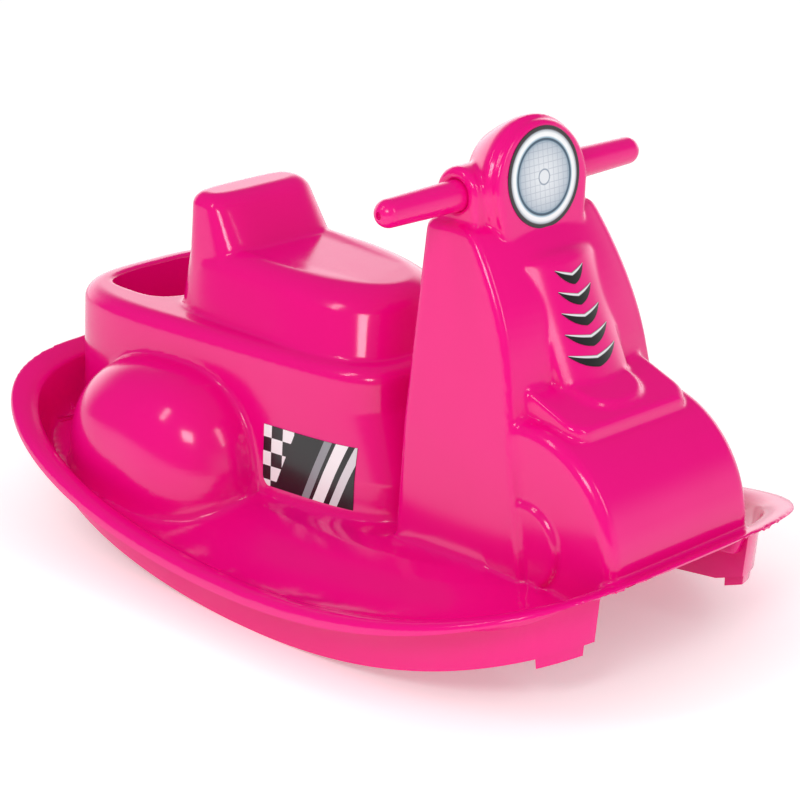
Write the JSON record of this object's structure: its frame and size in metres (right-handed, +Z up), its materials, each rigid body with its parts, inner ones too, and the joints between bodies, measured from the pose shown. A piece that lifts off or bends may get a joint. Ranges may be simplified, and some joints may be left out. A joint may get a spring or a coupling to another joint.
{
  "type": "rocking motorcycle",
  "caption": "Moulded plastic rocking ride-on shaped like a small scooter, with a footwell tray on curved runners, a seat with a backrest, a rear bin and plug-in handles.",
  "frame": {"origin": "on the ground under the middle of the tray's length and width, the rocker standing level", "axes": "+Z up, -Y towards the front wheel cover and headlamp, +X to the right hand as seen from the front"},
  "size_m": [0.485, 0.7839, 0.4739],
  "materials": {
    "pink_plastic": "glossy hot pink moulded polypropylene",
    "pink_handle_plastic": "glossy hot pink moulded polypropylene, slightly less polished",
    "plated_steel": "zinc plated",
    "lamp_print": "printed and laminated film with a headlamp picture",
    "vent_print": "printed and laminated black film with a silver edge",
    "side_print": null
  },
  "bodies": {
    "root": {"body_shell": "pink_plastic", "handle_left": "pink_handle_plastic", "handle_right": "pink_handle_plastic", "handle_screw_left": "plated_steel", "handle_screw_right": "plated_steel", "headlight_sticker": "lamp_print", "vent_sticker_1": "vent_print", "vent_sticker_2": "vent_print", "vent_sticker_3": "vent_print", "vent_sticker_4": "vent_print", "vent_sticker_5": "vent_print", "side_sticker_left": "side_print", "side_sticker_right": "side_print"}
  },
  "joints": []
}
